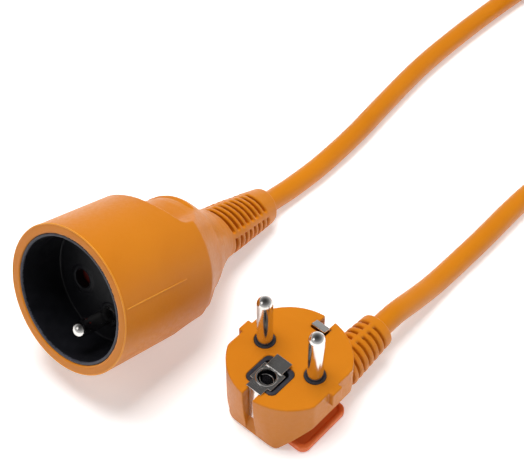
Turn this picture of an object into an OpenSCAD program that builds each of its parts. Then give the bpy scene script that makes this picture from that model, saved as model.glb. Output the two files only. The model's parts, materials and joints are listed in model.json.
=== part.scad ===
// Extension cord: a round flexible cable with an earthed socket connector, whose earth
// is a pin in the recess, on one end, and a right-angle earthed plug on the other.
// The socket lies on its back edge and strain relief, mouth up; the plug stands pins up.
// Frame: floor at z = 0, +X from the socket's mouth to its cable, +Z up, and the origin
// on the floor under the middle of the socket. All sizes in millimetres.

/* [Socket] */
// Outside diameter of the socket's barrel
socket_d = 46; // [45:0.5:47]
// Inside diameter of the recess that takes a plug
recess_d = 38.2; // [37.8:0.1:38.6]
// Depth of the recess, mouth to contact face
recess_depth = 15; // [14:0.5:15.5]
// Wall of the black insert round the recess
cup_wall = 1; // [0.8:0.1:1.2]
// Length of the barrel, mouth to back edge
barrel_len = 36.5; // [36:0.5:38]
// Where the finger scoop starts, from the mouth
scoop_start = 28.5; // [28:0.5:30]
// Length of the socket with its strain relief
socket_len = 88; // [86:1:92]
// Diameter of the socket's neck, where the strain relief starts
neck_d = 16.8; // [16:0.2:17.4]
// Tilt of the socket's axis, mouth up
tilt = 19; // [17:0.5:20]
// Turn of the contacts about the socket's axis
roll = 26; // [20:1:30]

/* [Contacts] */
// Diameter of the line, neutral and earth pins
pin_d = 4.8; // [4.74:0.01:4.84]
// Distance between the line and neutral contacts
pin_pitch = 19; // [18.8:0.1:19.2]
// Length of the plug's pins above its face
pin_len = 19; // [18.5:0.1:19.5]
// Distance of the earth contact from the middle
earth_off = 10; // [9.8:0.1:10.2]
// Diameter of the contact holes in the recess
hole_d = 5.8; // [5.4:0.1:6]
// Angle that the shutter turns through to clear the holes
shutter_turn = 40; // [38:1:42]

/* [Plug] */
// Radius of the plug's round face
face_r = 18.4; // [18.2:0.1:18.5]
// Half distance between the flats beside the pins
flat_half = 16.4; // [16:0.1:16.6]
// Depth of the plug's body, face to back
plug_depth = 20.4; // [20.2:0.05:20.4]
// Half width of the flat back
back_half = 9.2; // [9:0.1:9.4]
// Height of the plug's face over the floor
face_z = 20.5; // [20.45:0.05:20.6]
// Offset of the cable outlet from the middle of the plug
outlet_off = 8.5; // [8:0.1:8.8]
// Depth of the cable outlet under the face
outlet_depth = 10; // [9.8:0.1:10.2]
// Distance from the plug's middle to the end of its strain relief
outlet_len = 31; // [30:0.5:32]
// Size across the pull handle, along the cable
handle_w = 20; // [19:0.5:21]

/* [Cord] */
// Diameter of the cable's sheath
cord_d = 7.2; // [7:0.1:7.4]
// Diameter of one insulated core
core_d = 2.4; // [2.2:0.1:2.4]
// Radius of the coil's outermost turn
coil_r = 51; // [50:0.5:52]
// Turns in each layer of the coil
coil_turns = 2.25; // [2.25:0.25:2.5]
// Layers in the coil
coil_layers = 4; // [3:1:4]

/* [Hidden] */

$fn = 72;
eps = 0.02;
sr = socket_d / 2;
rr = recess_d / 2;
cup_r = rr + cup_wall;
floor_s = recess_depth + 3;      // back of the insert's floor
pocket_s = floor_s + 2.3;        // bottom of the shutter's pocket
carrier_s = floor_s + 13;        // back of the contact carrier
crimp_s = carrier_s + 6;         // end of the crimps
sheath_s = 56;                   // where the sheath starts
relief_s = 66;                   // where the rings start
relief_r = 6.2;                  // radius at the strain relief's end
pin_r = pin_d / 2;
shank_r = pin_r - 0.2;           // the pin's hidden part, in the bridge
half = pin_pitch / 2;
core_r = core_d / 2;
cord_r = cord_d / 2;
ca = cos(tilt);
sa = sin(tilt);
mouth_z = socket_len * sa + relief_r * ca;
rim_round = 0.8;
// the socket's box runs from the rim's low corner to the relief's top corner
rim_low = (sr - rim_round) * sa + rim_round * (1 - ca);
mouth_x = (rim_low - (socket_len * ca + relief_r * sa)) / 2;
plug_x = mouth_x + 34.72;
plug_y = -53.53;
coil_x = 248;
coil_y = -54;
layer_pitch = 7.2;
turn_pitch = 7.3;
coil_in = coil_r - coil_turns * turn_pitch;
handle_x = -2.5;                 // middle of the handle, from the plug's middle
hinge_y = 10.5;
hinge_z = 2;

// ---- small helpers -------------------------------------------------------
function arc(x, y, r, a0, a1, n = 8) =
    [for (i = [0:n]) [x + r * cos(a0 + (a1 - a0) * i / n),
                      y + r * sin(a0 + (a1 - a0) * i / n)]];
function unit(v) = v / norm(v);

// A solid of revolution about +X from [radius, station] points.
module turned(points) {
    rotate([0, 90, 0]) rotate_extrude() polygon(points);
}

module tube_x(r, s0, s1) {
    translate([s0, 0, 0]) rotate([0, 90, 0]) cylinder(r = r, h = s1 - s0);
}

module ring_x(r0, r1, s0, s1) {
    turned([[r0, s0], [r1, s0], [r1, s1], [r0, s1]]);
}

module rounded(w, d, r) {
    square([w - 2 * r, d], center = true);
    square([w, d - 2 * r], center = true);
    for (x = [-1, 1], y = [-1, 1])
        translate([x * (w / 2 - r), y * (d / 2 - r)]) circle(r = r, $fn = 32);
}

// The slots between a strain relief's rings, left whole along four ribs.
module relief_slots(s0, pitch, count, width, depth, r0, r1, rib) {
    span = pitch * count;
    difference() {
        for (i = [0:count - 1]) {
            s = s0 + i * pitch;
            r = r0 + (r1 - r0) * (s - s0) / span;
            ring_x(r - depth, r + 3, s, s + width);
        }
        translate([s0 - 1, -rib / 2, -20]) cube([span + 2, rib, 40]);
        translate([s0 - 1, -20, -rib / 2]) cube([span + 2, 40, rib]);
    }
}

// ---- the socket, on its own axis: mouth at x = 0, earth pin towards -z ----
module on_socket() {
    translate([mouth_x, 0, mouth_z]) rotate([0, tilt, 0]) rotate([-roll, 0, 0]) children();
}

function socket_at(s) = [mouth_x + s * ca, 0, mouth_z - s * sa];

module barrel_blank() {
    turned(concat([[0, 0]], arc(sr - rim_round, rim_round, rim_round, -90, 0, 5),
                  arc(sr - 1.2, barrel_len - 1.2, 1.2, 0, 90, 5), [[0, barrel_len]]));
}

// The thumb scoop and the lowered back of the shoulder, opposite the earth pin.
module scoop() {
    translate([0, 30, 0]) rotate([90, 0, 0]) linear_extrude(60)
        polygon([[scoop_start, sr + 0.6], [42, 16.9], [49, 16.4], [54, 14.8], [58, 11.8],
                 [61.5, 8.6], [61.5, sr + 7], [scoop_start, sr + 7]]);
}

// The domed shoulder that runs down into the neck.
module shoulder() {
    turned([[0, 30], [21.9, 30], [21.9, 36.5], [20.9, 41], [19.9, 45.5], [18.2, 49.5],
            [16.6, 52.5], [14.7, 55.5], [12.2, 59], [9.9, 62.5], [neck_d / 2, 64], [0, 64]]);
}

module relief_cone() {
    turned([[0, 60], [neck_d / 2, 60], [neck_d / 2, relief_s], [relief_r, socket_len - 0.01],
            [relief_r, socket_len], [0, socket_len]]);
}

module socket_body() {
    color([0.85, 0.48, 0.12]) on_socket() difference() {
        union() {
            difference() {
                union() {
                    barrel_blank();
                    shoulder();
                }
                scoop();
            }
            relief_cone();
            // parting line along both sides
            for (y = [-1, 1])
                translate([2, y * sr - 0.2, -0.2]) cube([24, 0.4, 0.4]);
        }
        relief_slots(relief_s + 0.6, 2.65, 8, 1.35, 1.3, neck_d / 2, relief_r, 2);
        tube_x(cup_r + eps, -1, floor_s + eps);
        tube_x(17 + eps, 0, carrier_s + eps);
        turned(premould_outline(eps));
        tube_x(cord_r + eps, sheath_s, socket_len + 1);
    }
}

module insert_cup() {
    color([0.06, 0.06, 0.07]) on_socket() difference() {
        tube_x(cup_r, 0.25, floor_s);
        tube_x(rr, -1, recess_depth);
        for (y = [-half, half])
            translate([0, y, 0]) tube_x(hole_d / 2, recess_depth - 1, floor_s + 1);
        translate([0, 0, -earth_off]) tube_x(pin_r + eps, recess_depth - 1, floor_s + 1);
    }
}

module contact_carrier() {
    color([0.16, 0.16, 0.17]) on_socket() difference() {
        union() {
            difference() {
                tube_x(17, floor_s, carrier_s);
                tube_x(15, floor_s - 1, pocket_s);
                ring_x(2.6, 4.6, pocket_s - 1, pocket_s + 2.6);
            }
            tube_x(2, floor_s, pocket_s + 1);
        }
        for (y = [-half, half])
            translate([0, y, 0]) tube_x(3.2 + eps, pocket_s - 1, carrier_s + 1);
        translate([0, 0, -earth_off]) tube_x(pin_r + eps, floor_s, carrier_s + 1);
    }
}

function premould_outline(g) =
    [[0, carrier_s], [13.5 + g, carrier_s], [13.5 + g, crimp_s + 1], [5.2 + g, sheath_s - 2],
     [5.2 + g, sheath_s + g], [0, sheath_s + g]];

module rear_premould() {
    color([0.75, 0.74, 0.7]) on_socket() difference() {
        turned(premould_outline(0));
        turned([[0, carrier_s + 1.6], [12.4, carrier_s + 1.6], [12.4, crimp_s + 1],
                [4.1, sheath_s - 2], [4.1, sheath_s + 1], [0, sheath_s + 1]]);
        for (p = contact_posts()) translate(p) tube_x(2 + eps, carrier_s - 1, crimp_s);
    }
}

// The middles of the contacts on the socket's axis: line, neutral, earth.
function contact_posts() = [[0, half, 0], [0, -half, 0], [0, 0, -earth_off]];

// Each core runs from its crimp to the sheath, where the three lie in a triangle.
function triad(i) = let (a = [30, 150, 270][i]) 1.62 * [0, cos(a), sin(a)];
function socket_core_route(i) =
    [contact_posts()[i] + [crimp_s + eps, 0, 0], contact_posts()[i] + [crimp_s + 3, 0, 0],
     triad(i) + [sheath_s - 4, 0, 0], triad(i) + [sheath_s - eps, 0, 0]];

module sleeve(y) {
    on_socket() translate([0, y, 0]) {
        difference() {
            tube_x(3.2, pocket_s + 0.3, carrier_s);
            tube_x(pin_r + 0.05, pocket_s, carrier_s - 1.2);
            translate([pocket_s, -0.4, 0]) cube([8, 0.8, 5]);
        }
        tube_x(2, carrier_s, crimp_s);
    }
}

module line_sleeve() {
    color([0.8, 0.65, 0.3]) sleeve(half);
}

module neutral_sleeve() {
    color([0.8, 0.65, 0.3]) sleeve(-half);
}

module earth_pin() {
    color([0.8, 0.8, 0.8]) on_socket() translate([0, 0, -earth_off]) {
        turned(concat([[0, 0.5]], arc(0, 0.5 + pin_r, pin_r, -80, 0, 8),
                      [[pin_r, 13.6], [pin_r - 0.4, 13.8], [pin_r - 0.4, 14.3],
                       [pin_r, 14.5], [pin_r, carrier_s], [0, carrier_s]]));
        tube_x(2, carrier_s, crimp_s);
    }
}

module shutter() {
    color([0.4, 0.07, 0.05]) on_socket() difference() {
        union() {
            tube_x(4.4, floor_s + 0.4, floor_s + 1.9);
            for (y = [-half, half]) {
                translate([0, y, 0]) tube_x(3.75, floor_s + 0.4, floor_s + 1.9);
                translate([floor_s + 0.4, y > 0 ? 0 : -half, -2]) cube([1.5, half, 4]);
            }
        }
        tube_x(2.05, floor_s, floor_s + 3);
    }
}

module shutter_spring() {
    color([0.7, 0.7, 0.7]) on_socket()
        for (i = [0:3])
            translate([pocket_s + 0.45 + 0.5 * i, 0, 0])
            rotate([0, 90, 0]) rotate_extrude() translate([3.5, 0]) circle(r = 0.3, $fn = 16);
}

module socket_core_brown() {
    color([0.35, 0.18, 0.08]) on_socket() core(socket_core_route(0));
}

module socket_core_blue() {
    color([0.1, 0.3, 0.7]) on_socket() core(socket_core_route(1));
}

module socket_core_earth() {
    color([0.5, 0.7, 0.1]) on_socket() core(socket_core_route(2));
}

// ---- the cord ------------------------------------------------------------
// The stretch from the socket to the coil, and from the coil back to the plug.
socket_route = [socket_at(sheath_s), socket_at(72), socket_at(socket_len), [50.8, 0.1, 4.4],
                [59, -0.4, 3.7], [73, -1, 3.6], [93, -0.2, 3.6], [113, 1.9, 3.6],
                [137, 3.9, 3.6], [163, 3.9, 3.6], [189, 2.6, 3.6], [219, -0.4, 3.6],
                [248, -3, 3.6]];
plug_route = [[plug_x + 14, plug_y - outlet_off, face_z - outlet_depth],
              [plug_x + outlet_len, plug_y - outlet_off, face_z - outlet_depth],
              [35, -62, 10], [45, -62, 7.4], [55, -61.8, 4.8], [65, -61.7, 3.7],
              [81, -61.9, 3.6], [106, -61.8, 3.6], [126, -63.7, 3.6], [146, -69.5, 3.6],
              [166, -78.5, 4.2], [186, -89, 8.2], [206, -98, 15], [227, -103.5, 22],
              [248, -105, 25.2]];

function spline(a, b, c, d, t) =
    0.5 * ((2 * b) + (c - a) * t + (2 * a - 5 * b + 4 * c - d) * t * t
           + (3 * b - a - 3 * c + d) * t * t * t);
function at(pts, i) = pts[max(0, min(len(pts) - 1, i))];
function smooth(pts, n) =
    concat([for (i = [0:len(pts) - 2], k = [0:n - 1])
            spline(at(pts, i - 1), pts[i], pts[i + 1], at(pts, i + 2), k / n)],
           [pts[len(pts) - 1]]);

// A tube swept along the points; no stretch of it runs along the direction up.
module sweep(path, r, sides = 12, up = [0, 0, 1]) {
    n = len(path);
    rings = [for (i = [0:n - 1])
             let (t = unit(at(path, i + 1) - at(path, i - 1)),
                  u = unit(cross(up, t)),
                  w = cross(t, u))
             for (k = [0:sides - 1])
             path[i] + r * (cos(360 * k / sides) * u + sin(360 * k / sides) * w)];
    sides_faces = [for (i = [0:n - 2], k = [0:sides - 1])
                   let (a = i * sides + k, b = i * sides + (k + 1) % sides)
                   [a, a + sides, b + sides, b]];
    polyhedron(rings, concat(sides_faces, [[for (k = [0:sides - 1]) k]],
                             [[for (k = [sides - 1:-1:0]) (n - 1) * sides + k]]));
}

module core(route) {
    sweep(route, core_r, 8, [0.4, 1, 0.2]);
}

module cord_lead_socket() {
    color([0.84, 0.49, 0.12]) sweep(smooth(socket_route, 1), cord_r);
}

module cord_lead_plug() {
    color([0.84, 0.49, 0.12]) sweep(smooth(plug_route, 1), cord_r);
}

module cord_coil() {
    h = coil_layers * layer_pitch;
    color([0.84, 0.49, 0.12]) difference() {
        translate([coil_x, coil_y, 0]) rotate_extrude()
            translate([(coil_r + coil_in) / 2, h / 2])
            rounded(coil_r - coil_in + cord_d, h, 3);
        translate([coil_x + coil_in - 4, coil_y - 6.1, -1])
            cube([coil_r - coil_in + cord_d + 2, 12.2, 1.7]);
    }
}

// A strap round the coil's turns on its far side.
module coil_tie() {
    h = coil_layers * layer_pitch;
    w = coil_r - coil_in + cord_d;
    color([0.1, 0.1, 0.1])
        translate([coil_x + (coil_r + coil_in) / 2 - 0.25, coil_y - 6, h / 2 + 0.35])
        rotate([-90, 0, 0]) linear_extrude(12) difference() {
            rounded(w + 2.3, h + 0.7, 3.5);
            rounded(w + 1.1, h - 0.5, 1);
        }
}

// ---- the plug, pins up: face at z = 0, cable towards +x -------------------
module on_plug() {
    translate([plug_x, plug_y, face_z]) children();
}

module face_outline() {
    intersection() {
        circle(r = face_r, $fn = 96);
        square([50, 2 * flat_half], center = true);
    }
}

// The side view: flat back with a slanted flank to each side.
module flank() {
    rotate([90, 0, 90]) linear_extrude(80, center = true)
        polygon([[-20, 1], [20, 1], [20, -6.2], [back_half, -plug_depth],
                 [-back_half, -plug_depth], [-20, -6.2]]);
}

// The near wall leans in to a straight back edge.
module near_wall() {
    translate([0, 25, 0]) rotate([90, 0, 0]) linear_extrude(50)
        polygon([[-16.7, -plug_depth], [25, -plug_depth], [25, 1], [-19, 1], [-19, -3.2]]);
}

// The notch for an outlet's near earth clip, with its foot sloping out.
module near_notch() {
    translate([0, 1.9, 0]) rotate([90, 0, 0]) linear_extrude(3.8)
        polygon([[-14.6, 1], [-14.6, -13], [-15.4, -14], [-17.4, -21], [-20, -21], [-20, 1]]);
}

module earth_notch(x0, x1, w) {
    translate([x0, -w / 2, -13]) cube([x1 - x0, w, 14]);
}

module plug_relief() {
    translate([0, -outlet_off, -outlet_depth]) difference() {
        turned([[0, 4], [7.3, 4], [7.3, 16], [5.8, outlet_len], [0, outlet_len]]);
        relief_slots(16.8, 2.6, 5, 1.3, 1.3, 7.3, 5.9, 2);
    }
}

module hinge_lugs() {
    for (x = [handle_x - 9, handle_x + 6.7])
        translate([x, 0, 0]) {
            translate([0, hinge_y, hinge_z - face_z]) tube_x(1.95, 0, 2.3);
            translate([0, hinge_y - 1.95, hinge_z - face_z]) cube([2.3, 3.9, 6]);
        }
}

module plug_moulding() {
    difference() {
        union() {
            intersection() {
                translate([0, 0, -plug_depth]) linear_extrude(plug_depth) face_outline();
                flank();
                near_wall();
            }
            for (y = [-1, 1])
                translate([-2, y > 0 ? 14 : -17.9, -5.3]) cube([4, 3.9, 5.3]);
            plug_relief();
        }
        bridge_block(eps);
        near_notch();
        // channel that takes the folded handle
        translate([handle_x - handle_w / 2 - 0.3, -20, -21])
            cube([handle_w + 0.6, 33, 3.7]);
        translate([handle_x - 6.7, hinge_y - 2.3, -21]) cube([13.4, 5, 4.8]);
        earth_notch(12.4, 15.6, 5.6);
        earth_notch(14, 20, 3.8);
        translate([-15.7, -2.6, -14.3]) cube([31.4, 5.2, 1.3]);
        translate([-15.7, -2.6, -14.3]) cube([0.8, 5.2, 14.4]);
        strip_tab(eps);
        // shallow seats where the strip reaches past the bridge's frame
        translate([-15.9, -3.1, -0.5]) cube([2.3, 6.2, 1]);
        translate([-3.4, -3.2, -0.5]) cube([1.6, 6.4, 1]);
        wiring_pocket();
        translate([0, -outlet_off, -outlet_depth]) tube_x(cord_r + eps, 14, 40);
    }
}

module plug_body() {
    color([0.85, 0.49, 0.13]) on_plug() difference() {
        union() {
            plug_moulding();
            hinge_lugs();
        }
        translate([0, hinge_y, hinge_z - face_z]) tube_x(1 + eps, -20, 20);
    }
}

// The hollow under the bridge where the cores turn towards the outlet.
module wiring_pocket() {
    translate([0, 0, -13.5]) linear_extrude(3)
        polygon([[-1.7, -11.2], [14, -11.6], [14, -5.4], [8.5, -1.5], [1.7, 11.2],
                 [-1.7, 11.2]]);
    translate([7, -outlet_off - 3.1, -13]) cube([7 + eps, 6.2, 6]);
}

module bridge_block(g) {
    translate([0, 0, -10.5 - g]) linear_extrude(8 + 2 * g) intersection() {
        circle(r = 16.2 + g);
        translate([-14.5 - g, -13 - g]) square([18.5 + 2 * g, 26 + 2 * g]);
    }
    for (y = [-half, half]) translate([0, y, -3]) cylinder(r = 3.2 + g, h = 3);
    translate([-8.4, 0, -3]) linear_extrude(3) rounded(10.8 + 2 * g, 11 + 2 * g, 2);
}

module pin_bridge() {
    color([0.17, 0.17, 0.18]) on_plug() difference() {
        bridge_block(0);
        for (y = [-half, half]) translate([0, y, -11]) cylinder(r = shank_r + eps, h = 12);
        translate([-earth_off, 0, -3.8]) linear_extrude(5) rounded(8, 8, 1);
        translate([-earth_off, 0, -9.6]) cylinder(r = 3.4, h = 7);
    }
}

module pin(y) {
    on_plug() translate([0, y, 0]) {
        cylinder(r = pin_r, h = pin_len - pin_r);
        translate([0, 0, pin_len - pin_r]) sphere(r = pin_r);
        translate([0, 0, -9]) cylinder(r = shank_r, h = 9);
        translate([0, 0, -10.5]) cylinder(r = 2, h = 1.5);
    }
}

module line_pin() {
    color([0.8, 0.78, 0.76]) pin(half);
}

module neutral_pin() {
    color([0.8, 0.78, 0.76]) pin(-half);
}

// The ferrule on the strip that takes the earth core.
module strip_tab(g) {
    translate([0, -3.6, -12.1]) tube_x(1.5 + g, -3 - g, 3 + g);
    translate([-3 - g, -3.9 - g, -14.2 - g]) cube([6 + 2 * g, 3.9, 1.2 + 2 * g]);
}

module earth_strip() {
    color([0.78, 0.78, 0.79]) on_plug() {
        translate([-15.6, -2.5, -14.2]) cube([30.8, 5, 0.6]);
        translate([-15.6, -1.8, -14.2]) cube([0.6, 3.6, 14.82]);
        translate([14.6, -2.5, -14.2]) cube([0.6, 5, 14.6]);
        // lip at the far notch
        translate([12.6, -2.5, 0.2]) cube([2.6, 5, 0.5]);
        strip_tab(0);
        difference() {
            union() {
                translate([-15.6, -2.8, 0.02]) cube([9.6, 5.6, 0.6]);
                translate([-12.7, -4.2, 0.02]) cube([6.3, 8.4, 0.6]);
                translate([-7, -2.9, 0.3]) cube([4.9, 5.8, 0.9]);
            }
            translate([-earth_off, 0, -1]) cylinder(r = 2.8, h = 4);
        }
    }
}

module earth_contact() {
    color([0.7, 0.7, 0.7]) on_plug() translate([-earth_off, 0, 0]) difference() {
        translate([0, 0, -9]) cylinder(r = 2.77, h = 9.8);
        translate([0, 0, -10]) cylinder(r = pin_r + 0.05, h = 12);
        for (a = [0, 90]) rotate(a) translate([-4, -0.25, -10]) cube([8, 0.5, 6]);
    }
}

// The cores pass under the bridge and come together at the outlet.
function plug_core_route(i) =
    let (y = -outlet_off, z = -outlet_depth)
    [[[0, half, -10.5 - eps], [0, half, -11.5], [1.2, 7.6, -12.05], [9.3, y + 3.5, -12.05],
      [11.8, y + 1.4, z - 0.75], [14 - eps, y + 1.4, z - 0.75]],
     [[0, -half, -10.5 - eps], [0, -half, -11.5], [1.2, y - 1.1, -12.05], [9, y - 1.4, -12.05],
      [11.6, y - 1.4, z - 0.75], [14 - eps, y - 1.4, z - 0.75]],
     [[3 + eps, -3.6, -12.1], [4.4, -3.6, -12.1], [7, -6.2, -12], [10.4, y, z + 1.6],
      [14 - eps, y, z + 1.6]]][i];

module plug_core_brown() {
    color([0.35, 0.18, 0.08]) on_plug() core(plug_core_route(0));
}

module plug_core_blue() {
    color([0.1, 0.3, 0.7]) on_plug() core(plug_core_route(1));
}

module plug_core_earth() {
    color([0.5, 0.7, 0.1]) on_plug() core(plug_core_route(2));
}

// The pull handle, folded flat under the back; it swings down about the hinge.
module pull_handle() {
    color([0.62, 0.25, 0.08]) translate([plug_x + handle_x, plug_y, 0]) difference() {
        union() {
            translate([0, hinge_y, hinge_z]) tube_x(1.95, -6.4, 6.4);
            translate([-6.4, 6, 0.05]) cube([12.8, hinge_y - 6, 2.6]);
            translate([0, -5, 0.05]) linear_extrude(2.6) rounded(handle_w, 23, 2.5);
        }
        translate([0, hinge_y, hinge_z]) tube_x(1.05, -20, 20);
        translate([0, -4.5, -1]) linear_extrude(5) rounded(12, 15, 4);
    }
}

module handle_pin() {
    color([0.7, 0.7, 0.7]) translate([plug_x + handle_x, plug_y + hinge_y, hinge_z])
        tube_x(1, -9, 9);
}

socket_body();
insert_cup();
contact_carrier();
rear_premould();
line_sleeve();
neutral_sleeve();
earth_pin();
shutter();
shutter_spring();
socket_core_brown();
socket_core_blue();
socket_core_earth();
cord_lead_socket();
cord_coil();
cord_lead_plug();
coil_tie();
plug_body();
pin_bridge();
line_pin();
neutral_pin();
earth_strip();
earth_contact();
plug_core_brown();
plug_core_blue();
plug_core_earth();
pull_handle();
handle_pin();
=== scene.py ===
"""Extension cord: a round orange cable with an earthed socket connector on one end and a
right-angle plug on the other, on a pale floor. Lengths below are in millimetres, in the
connector's or the plug's own frame, and each mesh is placed in the row frame in metres."""

import json
import math

import bmesh
import bpy
import numpy as np
from mathutils import Matrix, Vector


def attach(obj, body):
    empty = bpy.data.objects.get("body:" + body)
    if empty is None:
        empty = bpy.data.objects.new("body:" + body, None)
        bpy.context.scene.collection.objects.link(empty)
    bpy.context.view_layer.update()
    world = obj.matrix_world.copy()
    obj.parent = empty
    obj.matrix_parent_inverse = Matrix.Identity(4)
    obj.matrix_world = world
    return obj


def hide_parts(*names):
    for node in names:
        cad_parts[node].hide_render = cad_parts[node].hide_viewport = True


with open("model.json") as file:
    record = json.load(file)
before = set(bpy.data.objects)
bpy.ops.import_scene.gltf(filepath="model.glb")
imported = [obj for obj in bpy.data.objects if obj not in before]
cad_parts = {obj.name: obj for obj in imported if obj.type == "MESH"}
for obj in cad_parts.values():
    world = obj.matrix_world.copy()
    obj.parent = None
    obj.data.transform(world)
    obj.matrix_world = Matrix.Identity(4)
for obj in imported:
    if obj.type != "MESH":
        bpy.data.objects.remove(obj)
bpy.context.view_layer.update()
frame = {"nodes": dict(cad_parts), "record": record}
MM = 0.001

# ---------------------------------------------------------------- places from the record
record = frame["record"]
MOUNT = {m["name"]: m for m in record["mounts"]}
JOINT = {j["name"]: j for j in record["behaviour"]["joints"]}


def point(name):
    return Vector(MOUNT[name]["pos_m"]) / MM


# the socket: its axis runs from the mouth to the cable, its contacts lie along SIDE
AXIS = Vector(JOINT["shutter_turn"]["axis"]).normalized()
SHUTTER_S = 19.0  # the shutter's joint sits this far behind the mouth
MOUTH = Vector(JOINT["shutter_turn"]["pos_m"]) / MM - SHUTTER_S * AXIS
SIDE = (point("socket_line_hole") - point("socket_neutral_hole")).normalized()
UP = AXIS.cross(SIDE)
SOCKET = Matrix([[AXIS[i], SIDE[i], UP[i], MOUTH[i]] for i in range(3)] + [[0, 0, 0, 1]])

# the plug: x towards its cable, z out of its face, origin between the pins
FACE_Z = point("plug_face").z
MIDDLE = (point("line_pin") + point("neutral_pin")) / 2
PLUG = Matrix.Translation((MIDDLE.x, MIDDLE.y, FACE_Z))
HINGE = Vector(JOINT["handle_fold"]["pos_m"]) / MM
HANDLE = Matrix.Translation((HINGE.x, MIDDLE.y, 0))

# ---------------------------------------------------------------- sizes
FIT = 0.02  # play between a moulding and what sits in it
FAR = 99.0  # past the end of any piece

# the contacts
PIN_R, PIN_LEN = 2.4, 19.0
HALF = 9.5  # from the middle to each contact
EARTH = 10.0  # from the middle to the earth contact

# the cable and its coil
CORD_R = 3.6
CORD_PLAY = 0.05
COIL_X, COIL_Y, COIL_R = 248.0, -54.0, 51.0
COIL_TURNS, COIL_LAYERS = 2.25, 4
TURN_PITCH, LAYER_PITCH = 7.3, 7.2
COIL_INNER = COIL_R - COIL_TURNS * TURN_PITCH
COIL_CLIMB = 60  # degrees taken to climb to the next layer
COIL_STEPS = 16  # points in a turn
STRAP_LIFT = 0.7  # the strap lifts the turns by this much
STRAP_SPREAD = 14  # degrees over which they come down again
STRAP_T, STRAP_W = 0.9, 12.0

# the socket connector
BARREL_R = 23.0
SOCKET_LEN = 88.0
CUP_R, CUP_LEN = 20.1, 18.0
RECESS_R, RECESS_DEPTH = 19.1, 15.0

# the plug
FACE_R, FLAT = 18.4, 16.4  # its face's radius, and from the middle to its flats
DEPTH, BACK = 20.4, 9.2  # its height, and half the width of its back
OUTLET_Y, OUTLET_Z, OUTLET_LEN = -8.5, -10.0, 31.0
LUG_R = 1.95  # the hinge's lugs, and the handle's barrel between them
LUG_BORE_R, BARREL_BORE_R = 1.02, 1.05
# the bridge's frame round the earth contact: its middle, its width, depth and corners
FRAME_X, FRAME_SIZE, FRAME_SEAT = -8.4, (10.8, 11, 2.0), (10.9, 11.1, 2.0)
COLLAR_R, COLLAR_SEAT_R = 3.2, 3.25  # the bridge's collars round the pins

# ---------------------------------------------------------------- camera
AZIMUTH, ELEVATION, DISTANCE = 48.4, 48.8, 433.6
TARGET = Vector((39.2, -4.33, 0.0))
FOCAL, SENSOR = 90.0, 36.0


def add_camera():
    a, e = math.radians(AZIMUTH), math.radians(ELEVATION)
    back = Vector((-math.cos(e) * math.sin(a), -math.cos(e) * math.cos(a), math.sin(e)))
    data = bpy.data.cameras.new("camera")
    data.lens = FOCAL
    data.sensor_width = SENSOR
    data.clip_start = 0.01
    data.clip_end = 20.0
    cam = bpy.data.objects.new("camera", data)
    bpy.context.collection.objects.link(cam)
    cam.location = (TARGET + back * DISTANCE) * MM
    cam.rotation_euler = back.to_track_quat("Z", "Y").to_euler()
    bpy.context.scene.camera = cam


# ---------------------------------------------------------------- materials
class Paint:
    """A principled material, with short calls for the nodes that feed it."""

    def __init__(self, name, color, rough, **values):
        self.mat = bpy.data.materials.new(name)
        self.mat.use_nodes = True
        self.tree = self.mat.node_tree
        self.shader = self.tree.nodes["Principled BSDF"]
        self.put(self.shader, "Base Color", (*color, 1))
        self.put(self.shader, "Roughness", rough)
        for key, value in values.items():
            self.put(self.shader, key.replace("_", " "), value)
        self.space = self.node("ShaderNodeTexCoord").outputs["Object"]

    def node(self, kind, **props):
        n = self.tree.nodes.new(kind)
        for key, value in props.items():
            setattr(n, key, value)
        return n

    def put(self, node, socket, value):
        if isinstance(value, bpy.types.NodeSocket):
            self.tree.links.new(value, node.inputs[socket])
        else:
            node.inputs[socket].default_value = value

    def noise(self, scale, detail=3.0, rough=0.5, stretch=None, distort=0.0):
        """A noise with this many features per metre."""
        where = self.space
        if stretch:
            m = self.node("ShaderNodeMapping")
            self.put(m, "Vector", where)
            m.inputs["Scale"].default_value = stretch
            where = m.outputs[0]
        n = self.node("ShaderNodeTexNoise")
        self.put(n, "Vector", where)
        self.put(n, "Scale", scale)
        self.put(n, "Detail", detail)
        self.put(n, "Roughness", rough)
        self.put(n, "Distortion", distort)
        return n.outputs["Fac"]

    def bands(self, scale, direction):
        n = self.node("ShaderNodeTexWave", wave_type="BANDS", bands_direction=direction)
        self.put(n, "Vector", self.space)
        self.put(n, "Scale", scale)
        return n.outputs["Fac"]

    def ramp(self, value, stops):
        r = self.node("ShaderNodeValToRGB")
        self.put(r, "Fac", value)
        set_stops(r.color_ramp, stops)
        return r.outputs["Color"]

    def bump(self, height, strength, distance, below=None):
        b = self.node("ShaderNodeBump")
        self.put(b, "Height", height)
        self.put(b, "Strength", strength)
        self.put(b, "Distance", distance)
        if below is not None:
            self.put(b, "Normal", below)
        return b.outputs["Normal"]

    def color(self, value, stops):
        self.put(self.shader, "Base Color", self.ramp(value, stops))

    def rough(self, value, stops):
        self.put(self.shader, "Roughness", self.ramp(value, stops))

    def normal(self, value):
        self.put(self.shader, "Normal", value)

    def soften(self, weight, radius):
        """Light that scatters a little under the surface."""
        self.put(self.shader, "Subsurface Weight", weight)
        self.put(self.shader, "Subsurface Radius", radius)
        self.put(self.shader, "Subsurface Scale", 1.0)


def set_stops(color_ramp, stops):
    """Sets a ramp from (position, color or grey level) pairs."""
    while len(color_ramp.elements) < len(stops):
        color_ramp.elements.new(0.5)
    for e, (pos, col) in zip(color_ramp.elements, stops):
        e.position = pos
        e.color = (*col, 1) if hasattr(col, "__len__") else (col, col, col, 1)


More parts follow.
